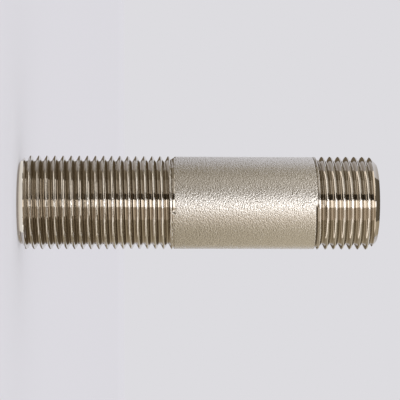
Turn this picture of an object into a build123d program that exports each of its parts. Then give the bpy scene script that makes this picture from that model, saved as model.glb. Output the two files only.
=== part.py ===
"""Long thread nipple: a turned brass pipe fitting with a G 1/2 male thread at both ends.

The nipple is one piece. It stands on its long threaded end: the origin is the centre of that
end face, and +Z runs up the axis to the short threaded end. All lengths are in millimetres.
"""
from build123d import *
from math import radians, tan
import os

os.makedirs("parts", exist_ok=True)

# Sizes that can be set by themselves
overall_length = 80.0
long_end_length = 35.0
short_end_length = 14.0
barrel_diameter = 20.75
bore_diameter = 15.0
end_chamfer = 1.5
bore_chamfer = 0.4
runout_angle = 45.0

# The G 1/2 thread
thread_diameter = 20.955
thread_pitch = 1.814
thread_depth = 1.162
flank_angle = 27.5

# Sizes that follow from them
thread_radius = thread_diameter / 2
root_radius = thread_radius - thread_depth
barrel_radius = barrel_diameter / 2
bore_radius = bore_diameter / 2
root_width = thread_pitch / 6
flank_length = thread_depth * tan(radians(flank_angle))
cone_length = (barrel_radius - root_radius) / tan(radians(runout_angle))
barrel_bottom = long_end_length
barrel_top = overall_length - short_end_length

with BuildPart() as nipple:
    # The turned blank: half of its lengthwise section, spun round the axis. Beside the barrel, each
    # threaded end has the groove that its thread runs out into.
    with BuildSketch(Plane.XZ):
        with BuildLine():
            Polyline(
                (bore_radius, 0),
                (thread_radius, 0),
                (thread_radius, barrel_bottom - cone_length - root_width - flank_length),
                (root_radius, barrel_bottom - cone_length - root_width),
                (root_radius, barrel_bottom - cone_length),
                (barrel_radius, barrel_bottom),
                (barrel_radius, barrel_top),
                (root_radius, barrel_top + cone_length),
                (root_radius, barrel_top + cone_length + root_width),
                (thread_radius, barrel_top + cone_length + root_width + flank_length),
                (thread_radius, overall_length),
                (bore_radius, overall_length),
                close=True,
            )
        make_face()
    revolve(axis=Axis.Z)

    # A lead-in chamfer round each end face, and a small one where the bore opens in it
    end_faces = nipple.faces().filter_by(GeomType.PLANE)
    chamfer([face.outer_wire().edge() for face in end_faces], end_chamfer)
    end_faces = nipple.faces().filter_by(GeomType.PLANE)
    chamfer([face.inner_wires()[0].edge() for face in end_faces], bore_chamfer)

nipple.part.label = "nipple"
export_step(nipple.part, "parts/nipple.step")
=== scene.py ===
"""Looks of a long thread nipple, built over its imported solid.

The frame is the solid's own: metres, +Z up the axis, the long threaded end standing on the floor.
The camera lies on its side, so that the nipple lies across the picture with its long end at the left.
"""

from __future__ import annotations

import logging
import math
from dataclasses import dataclass, field
from enum import Enum
from typing import Any

import bmesh
import bpy
from mathutils import Matrix, Vector

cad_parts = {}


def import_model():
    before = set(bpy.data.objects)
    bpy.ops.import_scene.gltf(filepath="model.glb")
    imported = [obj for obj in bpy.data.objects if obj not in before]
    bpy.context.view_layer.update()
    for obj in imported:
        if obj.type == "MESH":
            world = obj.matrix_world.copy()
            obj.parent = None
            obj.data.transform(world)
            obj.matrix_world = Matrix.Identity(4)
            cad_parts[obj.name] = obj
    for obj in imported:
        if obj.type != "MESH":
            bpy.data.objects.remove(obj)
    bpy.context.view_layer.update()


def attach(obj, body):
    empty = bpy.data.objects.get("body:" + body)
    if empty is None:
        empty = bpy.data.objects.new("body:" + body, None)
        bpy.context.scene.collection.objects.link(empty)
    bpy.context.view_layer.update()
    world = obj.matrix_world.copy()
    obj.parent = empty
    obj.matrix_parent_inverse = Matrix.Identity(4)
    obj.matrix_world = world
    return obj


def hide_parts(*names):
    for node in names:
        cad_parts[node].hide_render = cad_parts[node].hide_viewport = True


LOG = logging.getLogger("nipple")
MM = 0.001
TURN = 2 * math.pi
MATH = "ShaderNodeMath"
RANGE = "ShaderNodeMapRange"


def linear(colour: str) -> tuple[float, float, float, float]:
    """Turns an sRGB hex colour into the linear one that a shader works in.

    Args:
        colour: Six hex digits, red first.

    Returns:
        Red, green and blue in linear light, and an alpha of 1.
    """
    shares = [int(colour[i : i + 2], 16) / 255 for i in (0, 2, 4)]
    red, green, blue = (s / 12.92 if s <= 0.04045 else ((s + 0.055) / 1.055) ** 2.4 for s in shares)
    return red, green, blue, 1.0


def add(tree: bpy.types.NodeTree, kind: str, inputs: Any = (), **settings: Any) -> bpy.types.Node:
    """Adds a node to a tree with its settings and links.

    Args:
        tree: The node tree that gets it.
        kind: The node's type name.
        inputs: Values, sockets or nodes for its inputs, in order or by name. None leaves one as it is,
            and a node stands for its first output.
        **settings: Properties of the node.

    Returns:
        The new node.
    """
    node = tree.nodes.new(kind)
    for name, value in settings.items():
        setattr(node, name, value)
    pairs = inputs.items() if isinstance(inputs, dict) else enumerate(inputs)
    for key, value in pairs:
        if isinstance(value, bpy.types.Node):
            value = value.outputs[0]
        if isinstance(value, bpy.types.NodeSocket):
            tree.links.new(value, node.inputs[key])
        elif value is not None:
            node.inputs[key].default_value = value
    return node


class CardRole(Enum):
    """What a studio card does to the light."""

    LAMP = "lamp"
    FLAG = "flag"


@dataclass(frozen=True)
class NickelPlatedBrass:
    """Brass turned on a lathe, then barrel-plated with a thin coat of nickel.

    Nickel gives a warm grey mirror. The plain barrel was left as drawn and tumbled, so its gloss is
    broken by a fine grain; the cut threads are smoother. The roots of their grooves get a darker,
    browner colour, which is painted shade.
    """

    name: str = "nickel_plated_brass"
    plain: str = "E2DFDB"
    # colour of the thread roots: painted shade, darker and browner down in the cut grooves
    root: str = "B9B0A3"
    smooth_roughness: float = 0.13
    frosted_roughness: float = 0.36
    cut_roughness: float = 0.08
    grain_mm: float = 0.28
    grain_height_mm: float = 0.11
    turning_mm: float = 0.22
    turning_height_mm: float = 0.0012

    def build(self) -> bpy.types.Material:
        """Builds the finish.

        Returns:
            The material.
        """
        material = bpy.data.materials.new(self.name)
        material.use_nodes = True
        tree = material.node_tree
        tree.nodes.clear()
        spot = add(tree, "ShaderNodeTexCoord").outputs["Object"]
        bite = add(tree, "ShaderNodeAttribute", attribute_name="thread_bite").outputs["Fac"]
        cut = add(tree, "ShaderNodeAttribute", attribute_name="cut").outputs["Fac"]
        # the deeper a point lies in a cut groove, the more of the root colour it gets: painted shade in the
        # grooves
        groove_shade = add(tree, MATH, (bite, cut), operation="MULTIPLY")
        colour = add(
            tree,
            "ShaderNodeMix",
            {0: groove_shade, 6: linear(self.plain), 7: linear(self.root)},
            data_type="RGBA",
        ).outputs[2]
        grain = add(tree, "ShaderNodeTexNoise", {"Vector": spot, "Scale": 1 / (self.grain_mm * MM), "Detail": 2.0})
        frost = add(tree, RANGE, (grain, 0.36, 0.64, self.smooth_roughness, self.frosted_roughness))
        roughness = add(tree, RANGE, (cut, 0.0, 1.0, frost, self.cut_roughness))
        worked = add(tree, "ShaderNodeAttribute", attribute_name="worked").outputs["Fac"]
        rough_part = add(tree, MATH, (1.0, worked), operation="SUBTRACT")
        grain_height = add(tree, MATH, (grain, rough_part), operation="MULTIPLY")
        bump = add(
            tree,
            "ShaderNodeBump",
            {"Strength": 1.0, "Distance": self.grain_height_mm * MM, "Height": grain_height},
        )
        split = add(tree, "ShaderNodeSeparateXYZ", (spot,))
        rings = add(
            tree,
            "ShaderNodeTexNoise",
            {"W": split.outputs["Z"], "Scale": 1 / (self.turning_mm * MM), "Detail": 1.0},
            noise_dimensions="1D",
        )
        marks = add(
            tree,
            "ShaderNodeBump",
            {"Strength": 1.0, "Distance": self.turning_height_mm * MM, "Height": rings, "Normal": bump},
        )
        shader = add(
            tree,
            "ShaderNodeBsdfPrincipled",
            {"Base Color": colour, "Metallic": 1.0, "Roughness": roughness, "Normal": marks},
        )
        add(tree, "ShaderNodeOutputMaterial", (shader,))
        return material


@dataclass(frozen=True)
class PalePaper:
    """Matt pale paper under the object, which keeps a soft shadow."""

    name: str = "pale_paper"
    colour: str = "DDDCE0"
    paleness: float = 0.5

    def build(self) -> bpy.types.Material:
        """Builds the paper.

        Returns:
            The material.
        """
        material = bpy.data.materials.new(self.name)
        material.use_nodes = True
        tree = material.node_tree
        tree.nodes.clear()
        shader = add(
            tree,
            "ShaderNodeBsdfPrincipled",
            {"Base Color": linear(self.colour), "Roughness": 0.9, "Specular IOR Level": 0.1},
        )
        glow = add(tree, "ShaderNodeEmission", (linear(self.colour), 1.0))
        path = add(tree, "ShaderNodeLightPath")
        mirrored = add(
            tree,
            MATH,
            (path.outputs["Is Glossy Ray"], path.outputs["Is Transmission Ray"]),
            operation="MAXIMUM",
        )
        seen = add(tree, MATH, (path.outputs["Is Camera Ray"], mirrored), operation="MAXIMUM")
        share = add(tree, MATH, (seen, self.paleness), operation="MULTIPLY")
        mixed = add(tree, "ShaderNodeMixShader", (share, shader, glow))
        add(tree, "ShaderNodeOutputMaterial", (mixed,))
        return material


@dataclass
class ThreadedEnd:
    """One threaded end, from its end face at height 0 to a little past the shoulder.

    All lengths are in millimetres and all angles in turns. The thread is the G 1/2, right-handed. It
    was cut by a die with four chasers, whose 38 degree lead leaves a cone at the shoulder. Where each
    chaser stopped, the cone steps back by the advance of a quarter turn.
    """

    name: str
    length: float
    first_crest: float
    lead_foot: float
    chaser_mark: float
    land_end: float
    chasers: int = 4
    lead_slope: float = 0.78
    rounding: float = 0.14
    chamfer: float = 1.5
    past_shoulder: float = 0.5
    below_foot: float = 0.35
    rows_a_pitch: int = 18
    lead_rows: int = 54
    columns: int = 144


@dataclass
class Nipple:
    """The turned nipple: two threaded ends, the barrel between them and the bore."""

    finish: NickelPlatedBrass
    length: float = 80.0
    pitch: float = 1.814
    crest_radius: float = 10.4775
    depth: float = 1.162
    flank_angle: float = 27.5
    barrel_radius: float = 10.375
    bore_radius: float = 7.5
    bore_chamfer: float = 0.4
    long_end: ThreadedEnd = field(
        default_factory=lambda: ThreadedEnd(
            name="long_end",
            length=35.0,
            first_crest=1.7235,
            lead_foot=33.13,
            chaser_mark=0.0,
            land_end=34.5,
        )
    )
    short_end: ThreadedEnd = field(
        default_factory=lambda: ThreadedEnd(
            name="short_end",
            length=14.0,
            first_crest=0.19,
            lead_foot=12.52,
            chaser_mark=0.0303,
            land_end=13.9,
        )
    )
    inputs: dict[str, float] = field(default_factory=dict)

    def build(self) -> bpy.types.Object:
        """Builds the whole nipple as one closed mesh.

        Returns:
            The nipple, in the solid's own place.
        """
        tree = bpy.data.node_groups.new("turned_nipple", "GeometryNodeTree")
        tree.interface.new_socket("Geometry", in_out="OUTPUT", socket_type="NodeSocketGeometry")
        skins = [
            self.threaded_skin(tree, self.long_end),
            self.flipped(tree, self.threaded_skin(tree, self.short_end)),
            self.barrel_skin(tree),
            *self.inner_skins(tree),
        ]
        joined = add(tree, "GeometryNodeJoinGeometry")
        for skin in skins:
            tree.links.new(skin, joined.inputs[0])
        welded = add(tree, "GeometryNodeMergeByDistance", {"Geometry": joined, "Distance": 0.002})
        scaled = add(tree, "GeometryNodeTransform", {"Geometry": welded, "Scale": (MM, MM, MM)})
        real = add(tree, "GeometryNodeRealizeInstances", (scaled,))
        dressed = add(tree, "GeometryNodeSetMaterial", {"Geometry": real, "Material": self.finish.build()})
        add(tree, "NodeGroupOutput", (dressed,))
        return self.plain_mesh(tree)

    def size(self, tree: bpy.types.NodeTree, name: str, value: float) -> bpy.types.NodeSocket:
        """Gives the tree a named input for a size, once, and notes the value it is to get.

        Args:
            tree: The node tree.
            name: The input's name.
            value: The size in millimetres.

        Returns:
            The socket that brings the size into the tree.
        """
        entry = tree.nodes.get("sizes") or add(tree, "NodeGroupInput", name="sizes")
        if name not in entry.outputs:
            socket = tree.interface.new_socket(name, in_out="INPUT", socket_type="NodeSocketFloat")
            self.inputs[socket.identifier] = value
        return entry.outputs[name]

    def threaded_skin(self, tree: bpy.types.NodeTree, end: ThreadedEnd) -> bpy.types.NodeSocket:
        """Adds the nodes that make the outside of a threaded end.

        A flat grid is rolled up into a tube. Up to the chasers' lead its rows climb with the helix, so
        that crests and roots lie along rows, and above it they lie flat and close together.

        Args:
            tree: The node tree that gets them.
            end: The threaded end.

        Returns:
            The socket with its mesh, in millimetres.
        """
        frame = tree.nodes.new("NodeFrame")
        frame.label = end.name
        before = set(tree.nodes)
        pitch = self.size(tree, "Pitch", self.pitch)
        place = add(tree, "ShaderNodeSeparateXYZ", (add(tree, "GeometryNodeInputPosition"),))
        turn = add(tree, MATH, (place.outputs["X"], 0.5), operation="ADD")

        lead_start = end.lead_foot - end.below_foot
        turns = math.ceil(lead_start / self.pitch) + 1
        span = add(tree, MATH, (pitch, float(turns)), operation="MULTIPLY")
        along = add(tree, MATH, (place.outputs["Y"], 0.5), operation="ADD")
        risen = add(tree, MATH, (along, span), operation="MULTIPLY")
        back = add(tree, MATH, (turn, 1.0), operation="SUBTRACT")
        climbed = add(tree, MATH, (back, pitch, risen), operation="MULTIPLY_ADD")
        phase = end.first_crest % (self.pitch / end.rows_a_pitch)
        helical = add(tree, MATH, (climbed, phase), operation="ADD")
        clamped = add(tree, "ShaderNodeClamp", (helical, 0.0, lead_start))
        flat = add(tree, RANGE, (along, 0.0, 1.0, lead_start, end.length + end.past_shoulder))
        sheets = add(tree, "GeometryNodeJoinGeometry")
        for rows, rise in ((turns * end.rows_a_pitch + 1, clamped), (end.lead_rows, flat)):
            grid = add(
                tree,
                "GeometryNodeMeshGrid",
                {"Size X": 1.0, "Size Y": 1.0, "Vertices X": end.columns + 1, "Vertices Y": rows},
            )
            kept = self.keep(tree, grid, "height", rise)
            tree.links.new(kept, sheets.inputs[0])

        height = add(tree, "GeometryNodeInputNamedAttribute", {"Name": "height"}, data_type="FLOAT")
        radius, blank = self.turned_radius(tree, end, turn, height)
        crest = self.size(tree, "Crest radius", self.crest_radius)
        sunk = add(tree, MATH, (crest, radius), operation="SUBTRACT")
        bite = add(tree, MATH, (sunk, self.size(tree, "Thread depth", self.depth)), operation="DIVIDE")
        below = add(tree, MATH, (blank, radius), operation="SUBTRACT")
        skin = add(tree, RANGE, (below, 0.02, 0.08, 1.0, 0.0))
        threaded = add(tree, RANGE, (height, end.land_end - 0.15, end.land_end, 1.0, 0.0))
        bare = add(tree, MATH, (1.0, skin), operation="SUBTRACT")
        cut = add(tree, MATH, (threaded, bare), operation="MAXIMUM")
        # thread_bite and cut say how deep a point lies in a cut groove; the finish paints shade there with its
        # root colour
        kept = self.keep(tree, self.keep(tree, sheets, "thread_bite", bite), "cut", cut)
        worked = add(tree, MATH, (threaded, 0.85, bare), operation="MULTIPLY_ADD", use_clamp=True)
        kept = self.keep(tree, kept, "worked", worked)
        angle = add(tree, MATH, (turn, TURN), operation="MULTIPLY")
        east = add(tree, MATH, (add(tree, MATH, (angle,), operation="COSINE"), radius), operation="MULTIPLY")
        north = add(tree, MATH, (add(tree, MATH, (angle,), operation="SINE"), radius), operation="MULTIPLY")
        rolled = add(tree, "ShaderNodeCombineXYZ", (east, north, height))
        tube = add(tree, "GeometryNodeSetPosition", {"Geometry": kept, "Position": rolled})
        for node in set(tree.nodes) - before:
            if node.name != "sizes":
                node.parent = frame
        return tube.outputs[0]

    def keep(self, tree: bpy.types.NodeTree, geometry: Any, name: str, value: Any) -> bpy.types.NodeSocket:
        """Keeps a value for each point of a mesh as a named attribute.

        Args:
            tree: The node tree.
            geometry: The node or socket with the mesh.
            name: The attribute's name.
            value: The node or socket with the value.

        Returns:
            The socket with the mesh and its attribute.
        """
        kept = add(
            tree,
            "GeometryNodeStoreNamedAttribute",
            {"Geometry": geometry, "Name": name, "Value": value},
            domain="POINT",
            data_type="FLOAT",
        )
        return kept.outputs[0]

    def turned_radius(
        self, tree: bpy.types.NodeTree, end: ThreadedEnd, turn: Any, height: Any
    ) -> tuple[bpy.types.Node, bpy.types.Node]:
        """Adds the nodes for what the tools have left at an angle and a height.

        Args:
            tree: The node tree.
            end: The threaded end.
            turn: The angle, in turns.
            height: The height over the end face.

        Returns:
            The radius, and the radius of the blank before the thread was cut.
        """
        pitch = self.size(tree, "Pitch", self.pitch)
        depth = self.size(tree, "Thread depth", self.depth)
        crest = self.size(tree, "Crest radius", self.crest_radius)
        barrel = self.size(tree, "Barrel radius", self.barrel_radius)

        # How far the point is along its own turn of the thread: 0 and 1 on a crest, 0.5 in the groove
        above = add(tree, MATH, (height, end.first_crest), operation="SUBTRACT")
        pitches = add(tree, MATH, (above, pitch), operation="DIVIDE")
        unwound = add(tree, MATH, (pitches, turn), operation="SUBTRACT")
        share = add(tree, MATH, (unwound,), operation="FRACT")
        off = add(tree, MATH, (share, 0.5), operation="SUBTRACT")
        away = add(tree, MATH, (off,), operation="ABSOLUTE")

        # The 55 degree form with a twelfth of the pitch flat at its root, and both ends rounded
        slope = 1 / math.tan(math.radians(self.flank_angle))
        less = add(tree, MATH, (away, 1 / 12), operation="SUBTRACT")
        run = add(tree, MATH, (less, pitch), operation="MULTIPLY")
        straight = add(tree, MATH, (run, slope), operation="MULTIPLY")
        topped = add(tree, MATH, (straight, depth, end.rounding), operation="SMOOTH_MIN")
        lifted = add(tree, MATH, (topped, 0.0, end.rounding), operation="SMOOTH_MAX")
        root = add(tree, MATH, (crest, depth), operation="SUBTRACT")
        threaded = add(tree, MATH, (root, lifted), operation="ADD")

        # The cone that the chasers' lead has left, one step back at each of their marks
        behind = add(tree, MATH, (turn, end.chaser_mark), operation="SUBTRACT")
        marks = add(tree, MATH, (behind, float(end.chasers)), operation="MULTIPLY")
        since = add(tree, MATH, (marks,), operation="FRACT")
        advance = add(tree, MATH, (pitch, float(end.chasers)), operation="DIVIDE")
        foot = add(tree, MATH, (since, advance, end.lead_foot), operation="MULTIPLY_ADD")
        past = add(tree, MATH, (height, foot), operation="SUBTRACT")
        cone = add(tree, MATH, (past, end.lead_slope, root), operation="MULTIPLY_ADD")

        blank = add(tree, RANGE, (height, end.land_end - 0.15, end.land_end, crest, barrel))
        face = add(tree, MATH, (crest, end.chamfer), operation="SUBTRACT")
        lead_in = add(tree, MATH, (face, height), operation="ADD")
        left = add(tree, MATH, (threaded, cone), operation="MAXIMUM")
        bounded = add(tree, MATH, (left, blank), operation="MINIMUM")
        return add(tree, MATH, (bounded, lead_in), operation="MINIMUM"), blank

    def flipped(self, tree: bpy.types.NodeTree, skin: bpy.types.NodeSocket) -> bpy.types.NodeSocket:
        """Stands a threaded end on its head at the top of the nipple.

        Args:
            tree: The node tree.
            skin: The socket with the end's mesh.

        Returns:
            The socket with the turned mesh.
        """
        turned = add(
            tree,
            "GeometryNodeTransform",
            {"Geometry": skin, "Translation": (0, 0, self.length), "Rotation": (math.pi, 0, 0)},
        )
        return turned.outputs[0]

    def barrel_skin(self, tree: bpy.types.NodeTree) -> bpy.types.NodeSocket:
        """Adds the plain barrel between the two threaded ends.

        Args:
            tree: The node tree.

        Returns:
            The socket with its mesh.
        """
        low = self.long_end.length + self.long_end.past_shoulder
        high = self.length - self.short_end.length - self.short_end.past_shoulder
        tube = add(
            tree,
            "GeometryNodeMeshCylinder",
            {
                "Vertices": self.long_end.columns,
                "Side Segments": 12,
                "Radius": self.size(tree, "Barrel radius", self.barrel_radius),
                "Depth": high - low,
            },
            fill_type="NONE",
        )
        placed = add(tree, "GeometryNodeTransform", {"Geometry": tube, "Translation": (0, 0, (low + high) / 2)})
        return placed.outputs[0]

    def inner_skins(self, tree: bpy.types.NodeTree) -> list[bpy.types.NodeSocket]:
        """Adds the end faces, the small chamfers in them and the bore.

        Args:
            tree: The node tree.

        Returns:
            The sockets with their meshes.
        """
        mouth = self.bore_radius + self.bore_chamfer
        rim = self.crest_radius - self.long_end.chamfer
        rings = (
            (rim, 0.0, mouth, 0.0),
            (mouth, 0.0, self.bore_radius, self.bore_chamfer),
            (self.bore_radius, self.bore_chamfer, self.bore_radius, self.length - self.bore_chamfer),
            (self.bore_radius, self.length - self.bore_chamfer, mouth, self.length),
            (mouth, self.length, rim, self.length),
        )
        skins = []
        for low_radius, low, high_radius, high in rings:
            ring = add(
                tree,
                "GeometryNodeMeshCone",
                {
                    "Vertices": self.long_end.columns,
                    "Side Segments": 12 if high - low > 1 else 1,
                    "Radius Bottom": low_radius,
                    "Radius Top": high_radius,
                    "Depth": high - low,
                },
                fill_type="NONE",
            )
            placed = add(tree, "GeometryNodeTransform", {"Geometry": ring, "Translation": (0, 0, low)})
            skins.append(placed.outputs[0])
        return skins

    def plain_mesh(self, tree: bpy.types.NodeTree) -> bpy.types.Object:
        """Runs the node tree and keeps what it makes as a plain mesh.

        Args:
            tree: The finished node tree.

        Returns:
            The object with the plain mesh.
        """
        seed = bpy.data.objects.new("nipple_seed", bpy.data.meshes.new("nipple_seed"))
        bpy.context.scene.collection.objects.link(seed)
        modifier = seed.modifiers.new("turning", "NODES")
        modifier.node_group = tree
        for identifier, value in self.inputs.items():
            modifier[identifier] = value
        made = seed.evaluated_get(bpy.context.evaluated_depsgraph_get())
        mesh = bpy.data.meshes.new_from_object(made)
        seed.modifiers.remove(modifier)
        bpy.data.objects.remove(seed)
        shell = bmesh.new()
        shell.from_mesh(mesh)
        bmesh.ops.dissolve_degenerate(shell, dist=1e-7, edges=shell.edges)
        bmesh.ops.recalc_face_normals(shell, faces=shell.faces)
        for face in shell.faces:
            face.smooth = True
        for edge in shell.edges:
            edge.smooth = len(edge.link_faces) == 2 and edge.calc_face_angle() < math.radians(35)
        open_edges = sum(len(edge.link_faces) != 2 for edge in shell.edges)
        shell.to_mesh(mesh)
        shell.free()
        mesh.name = "turned_nipple"
        LOG.info("mesh: %d faces, %d open edges", len(mesh.polygons), open_edges)
        piece = bpy.data.objects.new("turned_nipple", mesh)
        bpy.context.scene.collection.objects.link(piece)
        return piece


def glowing_sheet(
    name: str, points: list[tuple], faces: list[tuple], colour: str, strength: float
) -> bpy.types.Object:
    """Makes a glowing sheet that only mirrored rays meet.

    Args:
        name: Name of the sheet and of its material.
        points: Its corners, in metres.
        faces: The corners of each face.
        colour: Its colour in hex.
        strength: Its brightness, where 1 shows the colour as it is.

    Returns:
        The sheet.
    """
    mesh = bpy.data.meshes.new(name)
    mesh.from_pydata(points, [], faces)
    material = bpy.data.materials.new(name)
    material.use_nodes = True
    tree = material.node_tree
    tree.nodes.clear()
    glow = add(tree, "ShaderNodeEmission", (linear(colour), strength))
    add(tree, "ShaderNodeOutputMaterial", (glow,))
    mesh.materials.append(material)
    sheet = bpy.data.objects.new(name, mesh)
    bpy.context.scene.collection.objects.link(sheet)
    sheet.visible_camera = False
    sheet.visible_shadow = False
    sheet.visible_diffuse = False
    return sheet


@dataclass
class Card:
    """A flat card beside the object, out of the camera's sight."""

    name: str
    role: CardRole
    colour: str
    strength: float
    low: float
    high: float
    left: float = -1.6
    right: float = 1.6
    distance: float = 0.6
    steps: int = 12

    def build(self) -> bpy.types.Object:
        """Bends the card round the nipple's axis between two heights of the picture.

        The angles are in degrees round the axis: 0 faces the camera's side, 90 is the picture's top,
        180 lies behind the object and -90 is the picture's bottom.

        Returns:
            The card.
        """
        points, faces = [], []
        for step in range(self.steps + 1):
            angle = math.radians(self.low + (self.high - self.low) * step / self.steps)
            east, north = -math.sin(angle) * self.distance, -math.cos(angle) * self.distance
            points += [(east, north, 0.04 + self.left), (east, north, 0.04 + self.right)]
            if step:
                last = 2 * step
                faces.append((last - 2, last - 1, last + 1, last))
        return glowing_sheet(self.name, points, faces, self.colour, self.strength)


@dataclass
class FloorSheet:
    """A ring-shaped sheet lying on the floor, which shows in the metal's reflections alone."""

    name: str
    role: CardRole
    colour: str
    strength: float
    low: float
    high: float
    near: float
    far: float
    height: float = 0.0005
    steps: int = 16

    def build(self) -> bpy.types.Object:
        """Lays the sheet round the nipple, between two angles like a card's.

        Returns:
            The sheet.
        """
        points, faces = [], []
        for step in range(self.steps + 1):
            angle = math.radians(self.low + (self.high - self.low) * step / self.steps)
            points += [(-math.sin(angle) * r, -math.cos(angle) * r, self.height) for r in (self.near, self.far)]
            if step:
                last = 2 * step
                faces.append((last - 2, last - 1, last + 1, last))
        return glowing_sheet(self.name, points, faces, self.colour, self.strength)


@dataclass
class Studio:
    """The pale floor, the soft light round the nipple and the pale surroundings."""

    paper: PalePaper
    ground: str = "DDDCE0"
    floor_size: float = 3.0
    cards: tuple[Card, ...] = (
        Card("front_card", CardRole.LAMP, "FFFDFC", 2.7, 2, 22),
        Card("lower_card", CardRole.LAMP, "FFF2E2", 0.98, -34, 2),
        Card("table_card", CardRole.FLAG, "C4B9A4", 1.0, -135, -34, -3.2, 3.2),
        Card("low_side_card", CardRole.LAMP, "FFFAF4", 2.0, -120, -34, 0.35, 0.75, 0.58),
        Card("brow_card", CardRole.FLAG, "453F37", 1.0, 23, 40, -3.2, 3.2),
        Card("forehead_card", CardRole.FLAG, "726C61", 1.0, 40, 50, -3.2, 3.2),
        Card("ceiling_card", CardRole.FLAG, "8C8373", 1.0, 50, 118, -3.2, 3.2),
        Card("barrel_card", CardRole.LAMP, "D2CBC0", 1.0, 39, 80, -0.3, 0.3, 0.57),
        Card("upper_card", CardRole.FLAG, "A79F90", 1.0, 80, 118, -0.3, 0.3, 0.57),
        Card("side_card", CardRole.LAMP, "FFFAF4", 2.0, 25, 125, 0.35, 0.75, 0.58),
    )
    sheets: tuple[FloorSheet, ...] = (
        FloorSheet("floor_flag", CardRole.FLAG, "6E6250", 1.0, -180, 180, 0.0125, 1.2, 0.0004),
        FloorSheet("shoulder_glint", CardRole.LAMP, "FFFCF8", 1.8, -20, 70, 0.017, 0.027),
        FloorSheet("rim_glint", CardRole.LAMP, "FFFCF8", 1.0, -30, 90, 0.0092, 0.0125),
        FloorSheet("end_flag", CardRole.FLAG, "6E6658", 1.0, -180, 180, 0.0, 0.9, 1.3),
    )

    def build(self) -> list[bpy.types.Object]:
        """Builds the studio.

        Returns:
            The floor and the cards, none of them part of the object.
        """
        mesh = bpy.data.meshes.new("floor")
        half = self.floor_size / 2
        mesh.from_pydata(
            [(-half, -half, 0), (half, -half, 0), (half, half, 0), (-half, half, 0)],
            [],
            [(0, 1, 2, 3)],
        )
        mesh.materials.append(self.paper.build())
        floor = bpy.data.objects.new("floor", mesh)
        bpy.context.scene.collection.objects.link(floor)
        self.surround()
        return [floor, *(sheet.build() for sheet in self.sheets), *(card.build() for card in self.cards)]

    def surround(self) -> None:
        """Makes the world pale, both behind the object and in its reflections."""
        world = bpy.data.worlds.new("studio")
        world.use_nodes = True
        tree = world.node_tree
        tree.nodes.clear()
        path = add(tree, "ShaderNodeLightPath")
        mirrored = add(
            tree,
            MATH,
            (path.outputs["Is Glossy Ray"], path.outputs["Is Transmission Ray"]),
            operation="MAXIMUM",
        )
        seen = add(tree, MATH, (path.outputs["Is Camera Ray"], mirrored), operation="MAXIMUM")
        strength = add(tree, RANGE, (seen, 0.0, 1.0, 1.39, 1.0))
        back = add(tree, "ShaderNodeBackground", (linear(self.ground), strength))
        add(tree, "ShaderNodeOutputWorld", (back,))
        bpy.context.scene.world = world


@dataclass
class PhotoCamera:
    """The camera at the photograph's angle, lying on its side because the nipple stands."""

    distance: float = 0.3705
    above: float = 14.0
    beside: float = 1.69
    roll: float = 0.587
    lens: float = 148.09
    aim: tuple[float, float, float] = (0.0, 0.0, 0.040)
    shift: tuple[float, float] = (0.006, 0.0071)

    def build(self) -> bpy.types.Object:
        """Places the camera.

        Returns:
            The camera.
        """
        above, beside = math.radians(self.above), math.radians(self.beside)
        back = Vector(
            (-math.sin(above) * math.cos(beside), -math.cos(above) * math.cos(beside), -math.sin(beside))
        )
        right = Vector((-1, 0, 0)).cross(back).normalized()
        up = back.cross(right)
        turned = Matrix((right, up, back)).transposed() @ Matrix.Rotation(math.radians(self.roll), 3, "Z")
        lens = bpy.data.cameras.new("camera")
        lens.sensor_width = 36.0
        lens.lens = self.lens
        lens.shift_x, lens.shift_y = self.shift
        lens.clip_start, lens.clip_end = 0.01, 50.0
        camera = bpy.data.objects.new("camera", lens)
        camera.matrix_world = Matrix.Translation(Vector(self.aim) + back * self.distance) @ turned.to_4x4()
        bpy.context.scene.collection.objects.link(camera)
        bpy.context.scene.camera = camera
        return camera


def main() -> None:
    """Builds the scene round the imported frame."""
    logging.basicConfig(level=logging.INFO, format="%(name)s: %(message)s")
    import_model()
    bpy.context.scene.view_settings.view_transform = "Standard"

    nipple = Nipple(NickelPlatedBrass()).build()
    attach(nipple, "root")
    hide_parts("nipple")
    LOG.info("built %s", nipple.name)

    for prop in Studio(PalePaper()).build():
        LOG.info("built %s", prop.name)
    PhotoCamera().build()
    LOG.info("placed the camera")


if __name__ == "__main__":
    main()
